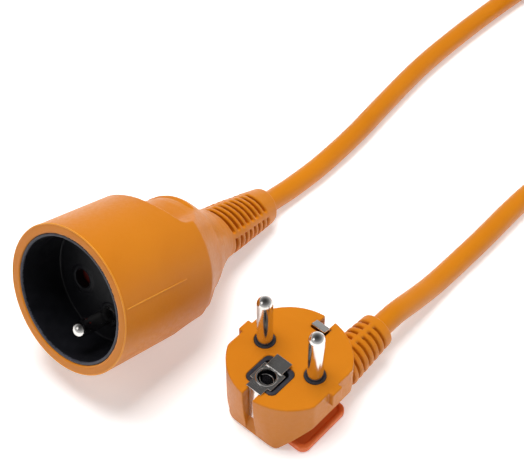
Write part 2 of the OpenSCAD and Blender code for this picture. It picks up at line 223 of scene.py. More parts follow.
def moulded(name, color, deep, rough=0.42):
    """Satin soft plastic: fine spark-eroded grain and faint flow clouds."""
    p = Paint(name, color, rough, Specular_IOR_Level=0.28)
    clouds = p.noise(38, detail=4, rough=0.55, distort=0.6)
    p.color(clouds, [(0.3, deep), (0.7, color)])
    p.rough(p.noise(900, detail=2), [(0.25, rough - 0.07), (0.75, rough + 0.09)])
    fine = p.bump(p.noise(5200, detail=2), 0.05, 0.0002)
    p.normal(p.bump(p.noise(420), 0.06, 0.0005, fine))
    p.soften(0.06, (0.0022, 0.0009, 0.0003))
    return p.mat


def sheath():
    """Extruded cable: faint waves and a soft sheen."""
    p = Paint("cable_sheath", (0.55, 0.18, 0.004), 0.40, Specular_IOR_Level=0.32)
    p.color(p.noise(24), [(0.3, (0.52, 0.165, 0.003)), (0.7, (0.59, 0.195, 0.006))])
    p.rough(p.noise(700, detail=2), [(0.2, 0.33), (0.8, 0.47)])
    fine = p.bump(p.noise(3800, detail=2), 0.05, 0.0002)
    p.normal(p.bump(p.noise(60), 0.10, 0.0008, fine))
    p.soften(0.05, (0.002, 0.0008, 0.0003))
    return p.mat


def nickel():
    """Plated brass: bright, with fine handling scratches and faint cloudiness."""
    p = Paint("bright_nickel", (0.78, 0.755, 0.72), 0.13, Metallic=1.0)
    tone = p.noise(160, detail=4, rough=0.6)
    p.color(tone, [(0.3, (0.70, 0.675, 0.64)), (0.7, (0.82, 0.80, 0.77))])
    lines = p.noise(900, rough=0.6, stretch=(1, 1, 0.08))
    p.rough(lines, [(0.3, 0.08), (0.75, 0.23)])
    p.normal(p.bump(lines, 0.05, 0.0001))
    return p.mat


def black_plastic(name, level, rough, sheen=0.5):
    """Hard black plastic with a thin veil of dust."""
    clean = (level, level, level * 1.3)
    dusty = (level * 2.2, level * 2.2, level * 2.7)
    p = Paint(name, clean, rough, Specular_IOR_Level=sheen)
    dust = p.noise(240, detail=5, rough=0.65, distort=0.4)
    p.color(dust, [(0.35, clean), (0.8, dusty)])
    p.rough(p.noise(520), [(0.25, rough - 0.08), (0.8, rough + 0.14)])
    p.normal(p.bump(p.noise(1500, detail=2), 0.05, 0.0002))
    return p.mat


def brass():
    p = Paint("contact_brass", (0.78, 0.57, 0.26), 0.28, Metallic=1.0)
    p.rough(p.noise(500), [(0.3, 0.2), (0.7, 0.4)])
    return p.mat


def steel():
    p = Paint("spring_steel", (0.6, 0.6, 0.61), 0.3, Metallic=1.0)
    p.rough(p.noise(900, stretch=(1, 1, 0.1)), [(0.3, 0.22), (0.7, 0.42)])
    return p.mat


def plain_plastic(name, color, rough=0.45):
    p = Paint(name, color, rough)
    dark = tuple(c * 0.82 for c in color)
    p.color(p.noise(120, detail=4), [(0.3, dark), (0.7, color)])
    p.normal(p.bump(p.noise(1400, detail=2), 0.06, 0.0002))
    return p.mat


def striped_core():
    """Green insulation with yellow stripes along it."""
    p = Paint("core_green_yellow", (0.12, 0.35, 0.04), 0.45)
    p.color(p.bands(120.0, "DIAGONAL"), [(0.45, (0.10, 0.34, 0.04)), (0.55, (0.75, 0.62, 0.03))])
    return p.mat


def strap_fabric():
    p = Paint("woven_strap", (0.012, 0.012, 0.013), 0.85, Sheen_Weight=0.35)
    p.color(p.noise(2600, detail=2), [(0.3, (0.008, 0.008, 0.009)), (0.7, (0.03, 0.03, 0.032))])
    p.normal(p.bump(p.bands(420.0, "Y"), 0.4, 0.0002))
    return p.mat


def floor_material():
    p = Paint("studio_floor", (0.85, 0.85, 0.85), 0.8, Specular_IOR_Level=0.1,
              Emission_Color=(1, 1, 1, 1), Emission_Strength=0.34)
    p.color(p.noise(3, detail=2), [(0.3, 0.84), (0.7, 0.86)])
    return p.mat


ORANGE = (0.56, 0.181, 0.007)
ORANGE_DEEP = (0.52, 0.161, 0.005)
MATERIAL = {
    "orange_moulding": moulded("orange_moulding", ORANGE, ORANGE_DEEP),
    "orange_handle": moulded("orange_handle", (0.80, 0.18, 0.045), (0.72, 0.155, 0.04), 0.5),
    "orange_sheath": sheath(),
    "black_insert": black_plastic("black_insert", 0.0048, 0.42, sheen=0.24),
    "flash": moulded("orange_flash", (0.72, 0.29, 0.03), (0.64, 0.24, 0.02), 0.4),
    # the insert's rim: the same black painted paler, a painted highlight
    "cup_rim": black_plastic("cup_rim", 0.03, 0.5, sheen=0.3),
    "grey_insulator": black_plastic("grey_insulator", 0.03, 0.5),
    "grey_insulator_plug": black_plastic("grey_insulator_plug", 0.022, 0.42),
    "natural_nylon": plain_plastic("natural_nylon", (0.62, 0.60, 0.54)),
    "contact_brass": brass(),
    "nickel_plate": nickel(),
    "shutter_red": plain_plastic("shutter_red", (0.20, 0.022, 0.016), 0.4),
    "spring_wire": steel(),
    "core_brown": plain_plastic("core_brown", (0.16, 0.06, 0.025)),
    "core_blue": plain_plastic("core_blue", (0.03, 0.12, 0.42)),
    "core_green_yellow": striped_core(),
    "black_strap": strap_fabric(),
}


# ---------------------------------------------------------------- solids from formulas
# A field is negative inside its solid, and about the distance to the surface near it.
def fuse(a, b, k):
    """The union of two fields, with a fillet about k wide."""
    h = np.maximum(k - np.abs(a - b), 0) / k
    return np.minimum(a, b) - h * h * k / 4


def meet(a, b, k):
    """What a and b share, with the edge rounded."""
    return -fuse(-a, -b, k)


def carve(a, b, k):
    """a without b, with the edge rounded."""
    return -fuse(-a, b, k)


def slab(v, low, high):
    return np.maximum(low - v, v - high)


def block(x, y, z, box, k):
    """A box (x0, x1, y0, y1, z0, z1) with rounded edges."""
    d = meet(slab(x, box[0], box[1]), slab(y, box[2], box[3]), k)
    return meet(d, slab(z, box[4], box[5]), k)


def rounded_rect(x, y, w, d, r):
    qx = np.abs(x) - (w / 2 - r)
    qy = np.abs(y) - (d / 2 - r)
    outside = np.hypot(np.maximum(qx, 0), np.maximum(qy, 0))
    return outside + np.minimum(np.maximum(qx, qy), 0) - r


def contacts(x, y):
    """The distance to the nearer of the two contacts' axes."""
    return np.minimum(np.hypot(x, y - HALF), np.hypot(x, y + HALF))


def lookup(s, table):
    return np.interp(np.ravel(s), *zip(*table)).reshape(np.shape(s))


def net_corners(f, count):
    """For each cell, the sum and the number of its edges' crossings, and all crossings by axis."""
    cells = tuple(count - 1)
    total, hits = np.zeros(cells + (3,)), np.zeros(cells)
    crossings = []
    for axis in range(3):
        u, v = [i for i in range(3) if i != axis]
        a = np.take(f, np.arange(count[axis] - 1), axis)
        b = np.take(f, np.arange(1, count[axis]), axis)
        cross = (a < 0) != (b < 0)
        t = np.where(cross, a / np.where(cross, a - b, 1), 0)
        crossings.append((cross, a < 0))
        for du in (0, 1):
            for dv in (0, 1):
                cut = [slice(None)] * 3
                cut[u] = slice(du, du + cells[u])
                cut[v] = slice(dv, dv + cells[v])
                here = cross[tuple(cut)]
                total[..., axis] += t[tuple(cut)]
                total[..., u] += here * du
                total[..., v] += here * dv
                hits += here
    return total, hits, crossings


def net_faces(number, crossings):
    """A quad round each edge of the grid that crosses the surface."""
    cells = number.shape
    faces = []
    for axis in range(3):
        cross, starts_in = crossings[axis]
        u, v = (axis + 1) % 3, (axis + 2) % 3
        inner = [slice(None)] * 3
        inner[u] = inner[v] = slice(1, -1)
        quads = []
        for su, sv in ((-1, -1), (0, -1), (0, 0), (-1, 0)):
            pick = [slice(None)] * 3
            pick[u] = slice(1 + su, cells[u] + su)
            pick[v] = slice(1 + sv, cells[v] + sv)
            quads.append(number[tuple(pick)])
        quads = np.stack(quads, -1)
        on = cross[tuple(inner)]
        flip = ~starts_in[tuple(inner)]
        faces.append(quads[on & ~flip])
        faces.append(quads[on & flip][:, ::-1])
    return np.concatenate(faces)


def settle(field, verts, step):
    """Moves the vertices onto the surface along the field's slope."""
    h = 0.02
    most = 0.3 * step
    for _ in range(4):
        x, y, z = verts.T
        value = field(x, y, z)
        slope = np.stack([field(x + h, y, z) - field(x - h, y, z),
                          field(x, y + h, z) - field(x, y - h, z),
                          field(x, y, z + h) - field(x, y, z - h)], -1) / (2 * h)
        size = np.maximum((slope ** 2).sum(-1), 0.05)
        move = -(value / size)[:, None] * slope
        verts = verts + np.clip(move, -most, most)
    return verts


def net(field, low, high, step):
    """Vertices and quads of the surface where field(x, y, z) is zero."""
    low = np.array(low, float)
    count = np.ceil((np.array(high, float) - low) / step).astype(int) + 1
    axes = [low[i] + step * np.arange(count[i]) for i in range(3)]
    f = field(*np.meshgrid(*axes, indexing="ij", sparse=True))
    total, hits, crossings = net_corners(np.broadcast_to(f, tuple(count)), count)
    used = hits > 0
    number = np.full(hits.shape, -1)
    number[used] = np.arange(used.sum())
    verts = low + step * (np.argwhere(used) + total[used] / hits[used][:, None])
    return settle(field, verts, step), net_faces(number, crossings)


def mesh_object(name, verts, faces, place, material):
    """A mesh in millimetres in its own frame, put into the row frame."""
    v = np.asarray(verts, float)
    m = np.array(place)
    v = (v @ m[:3, :3].T + m[:3, 3]) * MM
    mesh = bpy.data.meshes.new(name)
    mesh.from_pydata(v.tolist(), [], [list(map(int, f)) for f in faces])
    bm = bmesh.new()
    bm.from_mesh(mesh)
    bmesh.ops.recalc_face_normals(bm, faces=bm.faces)
    bm.to_mesh(mesh)
    bm.free()
    mesh.polygons.foreach_set("use_smooth", [True] * len(mesh.polygons))
    mesh.materials.append(material)
    obj = bpy.data.objects.new(name, mesh)
    bpy.context.collection.objects.link(obj)
    return obj


def finish_piece(obj, body="cord_set", replaces=None):
    """Hangs a piece on the empty of the body it rides on, and hides the CAD nodes it replaces."""
    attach(obj, body)
    if replaces:
        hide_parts(*([replaces] if isinstance(replaces, str) else replaces))
    return obj


def solid(name, field, low, high, step, place, slot, body="cord_set", replaces=None):
    """The piece whose field is zero on its surface, sampled at this step."""
    obj = mesh_object(name, *net(field, low, high, step), place, MATERIAL[slot])
    return finish_piece(obj, body, replaces)


def ring_faces(rings, sides, loop=False):
    """Quads from each ring of points to the next, and in a loop back to the first."""
    faces = []
    for i in range(rings if loop else rings - 1):
        here, there = i * sides, (i + 1) % rings * sides
        for k in range(sides):
            n = (k + 1) % sides
            faces.append((here + k, here + n, there + n, there + k))
    return faces


def end_faces(rings, sides):
    """The caps on the first and the last ring."""
    return [tuple(range(sides - 1, -1, -1)), tuple(range((rings - 1) * sides, rings * sides))]


def lathe(name, outline, place, slot, replaces, axis="z"):
    """A solid of revolution from (radius, height) points, closed at both ends."""
    sides = 96
    verts = []
    for r, h in outline:
        for i in range(sides):
            a = 2 * math.pi * i / sides
            verts.append((r * math.cos(a), r * math.sin(a), h))
    verts = np.array(verts)
    if axis == "x":
        verts = verts[:, [2, 0, 1]]
    faces = ring_faces(len(outline), sides) + end_faces(len(outline), sides)
    obj = mesh_object(name, verts, faces, place, MATERIAL[slot])
    return finish_piece(obj, replaces=replaces)


# ---------------------------------------------------------------- the cord
def socket_at(s):
    return tuple(MOUTH + s * AXIS)


# from the socket to the coil, and from the coil to the plug
SOCKET_ROUTE = [socket_at(80), socket_at(SOCKET_LEN), (50.8, 0.1, 4.4), (59, -0.4, 3.7),
                (73, -1, 3.6), (93, -0.2, 3.6), (113, 1.9, 3.6), (137, 3.9, 3.6),
                (163, 3.9, 3.6), (189, 2.6, 3.6), (219, -0.4, 3.6)]
OUTLET = Vector((MIDDLE.x + OUTLET_LEN, MIDDLE.y + OUTLET_Y, FACE_Z + OUTLET_Z))
PLUG_ROUTE = [(227, -103.5, 22), (206, -98, 15), (186, -89, 8.2), (166, -78.5, 4.2),
              (146, -69.5, 3.6), (126, -63.7, 3.6), (106, -61.8, 3.6), (81, -61.9, 3.6),
              (65, -61.7, 3.7), (55, -61.8, 4.8), (45, -62, 7.4), (35, -62, 10),
              tuple(OUTLET), tuple(OUTLET - Vector((8, 0, 0)))]


def coil_points():
    """The coil's turns, wound clockwise in layers from the outside in and back out."""
    swing = 360 * COIL_TURNS
    total = COIL_LAYERS * swing + (COIL_LAYERS - 1) * COIL_CLIMB
    steps = round(total / 360 * COIL_STEPS)
    points = []
    for i in range(steps + 1):
        phi = total * i / steps
        layer = min(int(phi // (swing + COIL_CLIMB)), COIL_LAYERS - 1)
        rest = phi - layer * (swing + COIL_CLIMB)
        t = min(rest / swing, 1)
        r = COIL_R + (COIL_INNER - COIL_R) * (t if layer % 2 == 0 else 1 - t)
        up = min(max((rest - swing) / COIL_CLIMB, 0), 1)
        z = CORD_R + LAYER_PITCH * (layer + up * up * (3 - 2 * up))
        a = math.radians(90 - phi)
        # the strap passes under the turns on the side away from the connectors
        off = (math.degrees(a) + 180) % 360 - 180
        z += STRAP_LIFT * math.exp(-((off / STRAP_SPREAD) ** 2))
        points.append((COIL_X + r * math.cos(a), COIL_Y + r * math.sin(a), z))
    return points


def add_cord():
    """One smooth curve through the two stretches and the coil between them."""
    points = SOCKET_ROUTE + coil_points() + PLUG_ROUTE
    data = bpy.data.curves.new("cable", "CURVE")
    data.dimensions = "3D"
    data.bevel_depth = CORD_R * MM
    data.bevel_resolution = 7
    data.resolution_u = 10
    data.use_fill_caps = True
    spline = data.splines.new("BEZIER")
    spline.bezier_points.add(len(points) - 1)
    co = [Vector(p) * MM for p in points]
    for i, b in enumerate(spline.bezier_points):
        before, after = co[max(i - 1, 0)], co[min(i + 1, len(co) - 1)]
        tangent = (after - before).normalized()
        b.co = co[i]
        b.handle_left_type = b.handle_right_type = "FREE"
        b.handle_left = co[i] - tangent * (co[i] - before).length / 3
        b.handle_right = co[i] + tangent * (after - co[i]).length / 3
    data.materials.append(MATERIAL["orange_sheath"])
    obj = bpy.data.objects.new("cable", data)
    bpy.context.collection.objects.link(obj)
    return finish_piece(obj, "cord_set",
                        ["cord_lead_socket", "cord_coil", "cord_lead_plug"])


def add_strap():
    """A woven strap round the coil's turns, with its tail lapped over."""
    mid = (COIL_R + COIL_INNER) / 2
    w = COIL_R - COIL_INNER + 2 * CORD_R
    h = COIL_LAYERS * LAYER_PITCH
    thin = STRAP_T / 2
    side_room, top_room, corner = 2.6, 2.0, 4.0

    def field(x, y, z):
        up = z - (h + STRAP_LIFT) / 2 - 0.3
        hoop = rounded_rect(x, up, w + side_room, h + top_room, corner)
        shell = np.maximum(hoop, -hoop - STRAP_T)
        # the tail lies on the hoop, over the upper part of one side
        tail = np.maximum(np.abs(hoop - thin) - thin, slab(x, 2, w))
        tail = np.maximum(tail, slab(z, h * 0.35, FAR))
        strap = fuse(shell, tail, 0.3)
        return meet(strap, slab(y, -STRAP_W / 2, STRAP_W / 2), 0.5)

    place = Matrix.Translation((COIL_X + mid, COIL_Y, 0.25))
    return solid("coil_strap", field, (-w, -8, -3), (w, 8, h + 5), 0.35, place,
                 "black_strap", replaces="coil_tie")


# ---------------------------------------------------------------- the socket
def relief_slots(s, r, ribs, start, pitch, count, width, floor_r, rib):
    """Ring slots between a strain relief's rings, left whole near each rib's plane."""
    turn = np.clip(np.floor((s - start) / pitch), 0, count - 1)
    across = np.abs(s - start - turn * pitch - width / 2) - width / 2
    d = meet(across, floor_r - r, 0.3)
    for away in ribs:
        d = meet(d, rib / 2 - np.abs(away), 0.5)
    return d


# radius along the socket: all round, and at the heel underneath
PROFILE = [(0, 23), (28, 22.8), (36.5, 22.75), (38, 21.9), (40, 20.7), (42, 19.5), (44, 18.4),
           (46, 17.3), (48, 16.4), (50, 15.1), (52, 13.8), (54, 12.5), (56, 11.4), (58, 10.4),
           (60, 9.6), (62, 9.0), (64, 8.8), (68.5, 8.5), (72.5, 8.1), (76, 7.65), (81, 7.2),
           (88, 6.3)]
HEEL = [(0, 23.1), (28, 23), (31, 22.6), (34, 22.1), (36.5, 21.6), (40, 21.1), (44, 20.7),
        (46, 20.1), (48, 18.5), (50, 16.6), (52, 14.6), (54, 12.5)]
# the thumb scoop's height over the axis, and the dome it leaves standing
SCOOP = [(26, 24), (28, 22.9), (28.8, 21.1), (30.5, 18.3), (31.5, 16.4), (32.8, 14.7),
         (34.2, 13.9), (36.5, 13.6), (45, 13.6), (48, 20), (52, 26)]
DOME = [(29, 17), (42, 16.9), (44, 16.8), (46, 16.4), (48, 15.6), (50, 14.3), (54, 11)]
# how far the shoulder's middle sinks from the axis
SINK = [(42, 0), (46, 0.4), (50, 1.2), (54, 1.8), (58, 1.9), (62, 1.45), (66, 1.2), (88, 0.1)]
# the heel is whole this many degrees either way from straight down, and then fades
HEEL_TURN, HEEL_FADE = 28, 18
HEEL_END, DOME_START = 54, 26
# keep the fields of the shoulder and of the scoop close to a distance
SHOULDER_EASE, SCOOP_EASE = 0.85, 0.6
SLOT_LEAN = 0.33  # the relief's slots lean by this slope
# inside: the carrier's bore, and the pre-mould's seat as radius along the socket
CARRIER_R, CARRIER_END = 17.02, 31.02
PREMOULD_SEAT = [(CARRIER_END, 13.52), (38, 13.52), (54, 5.22), (56, 5.22)]
PREMOULD_END = 56.02


def socket_hollow(s, r):
    """The stepped bore for the insert, the carrier, the pre-mould and the cable."""
    hollow = np.minimum(np.maximum(r - CUP_R - FIT, s - CUP_LEN - FIT),
                        np.maximum(r - CARRIER_R, s - CARRIER_END))
    seat = np.maximum(r - lookup(s, PREMOULD_SEAT), slab(s, 30, PREMOULD_END))
    hollow = np.minimum(hollow, seat)
    return np.minimum(hollow, np.maximum(r - CORD_R - CORD_PLAY, slab(s, 55, FAR)))


def socket_field(s, y, z):
    """The orange moulding: barrel, shoulder with heel, scoop and dome, and strain relief."""
    zs = z + lookup(s, SINK)
    rs = np.hypot(y, zs)
    turn = np.degrees(np.abs(np.arctan2(y, -zs)))
    fade = np.clip((turn - HEEL_TURN) / HEEL_FADE, 0, 1)
    fade = fade * fade * (3 - 2 * fade)
    side = lookup(s, PROFILE)
    radius = np.where(s < HEEL_END, lookup(s, HEEL) * (1 - fade) + side * fade, side)
    shell = meet((rs - radius) * SHOULDER_EASE, np.maximum(-s, s - SOCKET_LEN), 0.5)
    shell = meet(shell, (z - lookup(s, SCOOP)) * SCOOP_EASE, 0.4)
    dome = meet((rs - lookup(s, DOME)) * SHOULDER_EASE, slab(s, DOME_START, HEEL_END), 0.5)
    body = fuse(shell, dome, 1.6)
    slots = relief_slots(s + SLOT_LEAN * z, rs, (y, zs), start=62.7, pitch=2.6, count=8,
                         width=1.35, floor_r=side - 2.0, rib=2.0)
    body = carve(body, slots, 0.4)
    return carve(body, socket_hollow(s, np.hypot(y, z)), 0.12)


def seam(name, side):
    """The raised flash line where the mould's halves met."""
    start, length = 1.2, 24.5
    wide, high, sunk = 0.22, 0.13, 0.03
    sections, sides, run_out = 40, 7, 6
    verts = []
    for i in range(sections + 1):
        s = start + length * i / sections
        for k in range(sides):
            a = math.pi * k / (sides - 1)
            height = high * math.sin(a) * min(1, (sections - i) / run_out)
            verts.append((s, side * (BARREL_R - sunk + height), wide * math.cos(a)))
    faces = ring_faces(sections + 1, sides) + end_faces(sections + 1, sides)
    obj = mesh_object(name, verts, faces, SOCKET, MATERIAL["flash"])
    return finish_piece(obj)


def flash_ring():
    """The thin paler lip left round the mouth's outer edge."""
    thick, inset, depth = 0.24, 0.14, 0.16
    around, sides = 180, 8
    verts = []
    for i in range(around):
        t = 2 * math.pi * i / around
        for k in range(sides):
            a = 2 * math.pi * k / sides
            r = BARREL_R - inset + thick * math.cos(a)
            verts.append((depth + thick * math.sin(a), r * math.cos(t), r * math.sin(t)))
    faces = ring_faces(around, sides, loop=True)
    obj = mesh_object("mouth_flash", verts, faces, SOCKET, MATERIAL["flash"])
    return finish_piece(obj)


# the insert's floor: rings round the contact holes and a boss round the earth pin
CUP_TAPER = 0.012
RING_R, RING_RISE = 4.2, 0.25
BOSS_R, BOSS_RISE = 3.6, 0.5
CUP_HOLE_R = 2.9


def cup_field(s, y, z):
    """The black insert: its wall and floor, and what stands on the floor."""
    r = np.hypot(y, z)
    outer = meet(r - CUP_R, slab(s, 0.1, CUP_LEN), 0.5)
    inner = meet(r - RECESS_R + CUP_TAPER * s, s - RECESS_DEPTH, 0.5)
    cup = carve(outer, inner, 0.4)
    holes = contacts(z, y)
    ring = meet(holes - RING_R, slab(s, RECESS_DEPTH - RING_RISE, RECESS_DEPTH + 1), 0.2)
    earth = np.hypot(y, z + EARTH)
    boss = meet(earth - BOSS_R, slab(s, RECESS_DEPTH - BOSS_RISE, RECESS_DEPTH + 1), 0.3)
    cup = fuse(cup, fuse(ring, boss, 0.3), 0.4)
    cup = carve(cup, np.maximum(holes - CUP_HOLE_R, slab(s, 10, 30)), 0.4)
    return carve(cup, np.maximum(earth - PIN_R - FIT, slab(s, 5, 30)), 0.1)


def pin_outline(length, groove=None):
    """A pin from its root up to its round tip, as (radius, height)."""
    root, axis_r = -3.0, 0.01
    pts = [(axis_r, root), (PIN_R, root), (PIN_R, 0.0)]
    if groove:
        # a ring groove with sloping sides
        floor_r = PIN_R - 0.4
        pts += [(PIN_R, groove - 0.45), (floor_r, groove - 0.25)]
        pts += [(floor_r, groove + 0.25), (PIN_R, groove + 0.45)]
    rim = length - PIN_R
    pts += [(PIN_R, rim - 0.25), (PIN_R - 0.02, rim)]
    tip_steps = 14
    for i in range(tip_steps + 1):
        a = math.radians(6 + 83 * i / tip_steps)
        pts.append((PIN_R * math.cos(a), rim + PIN_R * math.sin(a)))
    return pts + [(axis_r, length)]


def add_socket():
    solid("socket_moulding", socket_field, (-1, -24.2, -24.2), (89, 24.2, 24.2), 0.44, SOCKET,
          "orange_moulding", replaces="socket_body")
    seam("seam_line_side", 1)
    seam("seam_neutral_side", -1)
    flash_ring()
    cup = solid("recess_insert", cup_field, (-0.6, -21, -21), (19, 21, 21), 0.36, SOCKET,
                "black_insert", replaces="insert_cup")
    # the insert's rim is painted paler than its inside: a painted highlight for the light its edge
    # catches
    cup.data.materials.append(MATERIAL["cup_rim"])
    rim = MOUTH * MM
    rim_depth = 0.5 * MM
    for face in cup.data.polygons:
        if (face.center - rim).dot(AXIS) < rim_depth:
            face.material_index = 1
    # the earth pin points out of the mouth
    turn = Matrix([[-1, 0, 0, RECESS_DEPTH], [0, 1, 0, 0], [0, 0, 1, -EARTH], [0, 0, 0, 1]])
    lathe("socket_pin", pin_outline(RECESS_DEPTH - 0.5, 0.9), SOCKET @ turn, "nickel_plate",
          "earth_pin", axis="x")


# ---------------------------------------------------------------- the plug
# boxes are (x0, x1, y0, y1, z0, z1) in the plug's frame
KEY_BOX = (-2.1, 2.1, 12, 17.9, -5.3, 0)
WELL_BOX, WELL_R = (-14.25, 4.05, -12.95, 12.95, -10.55, -2.55), 16.05
BRIDGE_BOX, BRIDGE_R = (-14.2, 4, -12.9, 12.9, -10.5, -2.6), 16.0
FAR_NOTCH = ((12.4, 15.6, -2.8, 2.8, -13, 9), (14, 30, -1.9, 1.9, -13, 9))
NEAR_NOTCH_X, NOTCH_HALF, NOTCH_FOOT = -14.7, 1.9, -13
FOOT_X, FOOT_OUT, FOOT_UP = -14.9, 0.96, 0.29  # the near notch's foot and its slope
FLANK_OUT, FLANK_UP = 0.796, 0.605  # slope of the flanks
NEAR_WALL_X, WALL_OUT, WALL_UP = -16.7, 0.993, 0.12  # the near wall's foot and slope
CHANNEL_HALF, CHANNEL_Z = 10.3, -17.3
BARREL_GAP_HALF, BARREL_GAP_Z = 6.7, -16.2
LUG_X, LUG_HALF = 7.85, 1.15
RELIEF_START, RELIEF_R, RELIEF_TIP_R = 12, 6.9, 5.6
BORE_START = 18  # where the cable's seat in the relief begins
SEAT_Z = -3  # depth of the seats in the face
POCKET_X, POCKET_Z, POCKET_SIZE = -8.6, -9.6, (8.2, 8.4, 1.2)  # room for the leaves


def from_hinge(x, y, z):
    """A place in the plug's frame, measured from the middle of the handle's hinge."""
    return x - (HINGE.x - MIDDLE.x), y - (HINGE.y - MIDDLE.y), z - (HINGE.z - FACE_Z)


def plug_shell(x, y, z):
    """Round in plan with two flats, slanted flanks, and a near wall that leans in."""
    body = meet(np.hypot(x, y) - FACE_R, np.abs(y) - FLAT, 0.3)
    flank = (np.abs(y) - BACK) * FLANK_OUT - (z + DEPTH) * FLANK_UP
    body = meet(body, meet(flank, -DEPTH - z, 0.7), 0.5)
    return meet(body, (NEAR_WALL_X - x) * WALL_OUT + (-DEPTH - z) * WALL_UP, 0.8)


def handle_room(x, y, z):
    """The channel for the folded handle, and the gap for its hinge barrel."""
    hx, hy, _ = from_hinge(x, y, z)
    channel = np.maximum(np.abs(hx) - CHANNEL_HALF, z - CHANNEL_Z)
    gap = np.maximum(np.abs(hx) - BARREL_GAP_HALF, slab(hy, -2.3, 2.7))
    return np.minimum(channel, np.maximum(gap, z - BARREL_GAP_Z))


def plug_relief(x, y, z):
    """The tapered strain relief, slotted into rings that two ribs join."""
    away = y - OUTLET_Y
    r = np.hypot(away, z - OUTLET_Z)
    t = np.clip((x - RELIEF_START) / (OUTLET_LEN - RELIEF_START), 0, 1)
    cone = RELIEF_R + (RELIEF_TIP_R - RELIEF_R) * t
    relief = meet(r - cone, slab(x, 2, OUTLET_LEN), 0.9)
    slots = relief_slots(x, r, (away,), start=10.9, pitch=2.6, count=7, width=1.1,
                         floor_r=cone - 1.5, rib=1.9)
    return carve(relief, slots, 0.9)


def clip_notches(x, y, z):
    """Notches for an outlet's side earth clips; the near one's foot slopes out."""
    foot = (x - FOOT_X) * FOOT_OUT - (z - NOTCH_FOOT) * FOOT_UP
    near = np.maximum(x - NEAR_NOTCH_X, np.abs(y) - NOTCH_HALF)
    near = np.maximum(near, np.minimum(NOTCH_FOOT - z, foot))
    wide, deep = FAR_NOTCH
    far = np.minimum(block(x, y, z, wide, 0.3), block(x, y, z, deep, 0.25))
    return np.minimum(near, far)


def bridge_seat(x, y, z):
    """Room for the bridge's collars and frame where they pass through the face."""
    ring = np.maximum(rounded_rect(x - FRAME_X, y, *FRAME_SEAT), SEAT_Z - z)
    return np.minimum(ring, np.maximum(contacts(x, y) - COLLAR_SEAT_R, SEAT_Z - z))


def hinge_lugs(x, y, z):
    """A lug to each side of the handle's barrel."""
    hx, hy, hz = from_hinge(x, y, z)
    root = block(hx, hy, hz, (-FAR, FAR, -LUG_R, LUG_R, 0, 6), 0.2)
    lug = np.minimum(np.hypot(hy, hz) - LUG_R, root)
    return meet(lug, np.abs(np.abs(hx) - LUG_X) - LUG_HALF, 0.4)


def plug_field(x, y, z):
    """The orange moulding of the plug."""
    body = carve(plug_shell(x, y, z), handle_room(x, y, z), 0.4)
    body = meet(body, z, 0.35)
    body = fuse(body, block(x, np.abs(y), z, KEY_BOX, 0.35), 0.15)
    body = fuse(body, plug_relief(x, y, z), 0.2)
    body = carve(body, clip_notches(x, y, z), 0.2)
    body = carve(body, bridge_seat(x, y, z), 0.15)
    well = np.maximum(block(x, y, z, WELL_BOX, 0.1), np.hypot(x, y) - WELL_R)
    body = np.maximum(body, -well)
    bore = np.hypot(y - OUTLET_Y, z - OUTLET_Z) - CORD_R - CORD_PLAY
    body = carve(body, np.maximum(bore, BORE_START - x), 0.3)
    body = fuse(body, hinge_lugs(x, y, z), 0.4)
    hx, hy, hz = from_hinge(x, y, z)
    return carve(body, np.maximum(np.hypot(hy, hz) - LUG_BORE_R, np.abs(hx) - 20), 0.1)


def bridge_field(x, y, z):
    """The black bridge: collars round the pins and the frame of the earth contact."""
    core = block(x, y, z, BRIDGE_BOX, 0.4)
    core = meet(core, np.hypot(x, y) - BRIDGE_R, 0.4)
    pins = contacts(x, y)
    collar = meet(pins - COLLAR_R, slab(z, -4, 0.12), 0.35)
    rim = meet(rounded_rect(x - FRAME_X, y, *FRAME_SIZE), slab(z, -4, 0.02), 0.35)
    body = np.minimum(core, np.minimum(collar, rim))
    pocket = np.maximum(rounded_rect(x - POCKET_X, y, *POCKET_SIZE), POCKET_Z - z)
    body = carve(body, pocket, 0.3)
    return carve(body, np.maximum(pins - PIN_R - FIT, -FAR - z), 0.15)


# heights of the earth strip's face and of the shelf on it, and the hole with its lip
STRIP_LOW, STRIP_TOP = 0.05, 0.65
SHELF_LOW, SHELF_TOP = 0.55, 1.2
LIP_R, EARTH_HOLE_R = 2.95, 2.72


def plate_field(x, y, z):
    """The earth strip's face: the stepped plate with its hole, and the bend to the near leg."""
    edge = 0.12
    bend = block(x, y, z, (-15.7, -12.5, -2.75, 2.75, STRIP_LOW, STRIP_TOP), edge)
    plate = block(x, y, z, (-12.75, -6.3, -3.9, 3.9, STRIP_LOW, STRIP_TOP), edge)
    shelf = block(x, y, z, (-6.9, -2.1, -2.85, 2.85, SHELF_LOW, SHELF_TOP), edge)
    rise = (x + 7.4) * 0.6
    ramp = block(x, y, z - rise, (-8.0, -6.6, -2.85, 2.85, STRIP_LOW, STRIP_TOP), edge)
    flat = fuse(np.minimum(bend, plate), np.minimum(shelf, ramp), 0.2)
    hole = np.hypot(x + EARTH, y)
    lip = meet(np.abs(hole - LIP_R) - 0.25, slab(z, 0.3, 0.95), 0.15)
    return carve(fuse(flat, lip, 0.15), np.maximum(hole - EARTH_HOLE_R, -3 - z), 0.1)


def strap_field(x, y, z):
    """The earth strip's base, its two legs and the bent far lip."""
    edge = 0.2
    base = block(x, y, z, (-15.6, 15.2, -2.5, 2.5, -14.2, -13.6), edge)
    near = block(x, y, z, (-15.6, -15.0, -1.8, 1.8, -14.2, 0.5), edge)
    far = block(x, y, z, (14.6, 15.2, -2.5, 2.5, -14.2, 0.6), edge)
    rise = (15.2 - x) * 0.30
    tongue = block(x, y, z - rise, (12.5, 15.2, -2.5, 2.5, STRIP_LOW, STRIP_TOP), edge)
    return np.minimum(np.minimum(base, near), np.minimum(far, tongue))


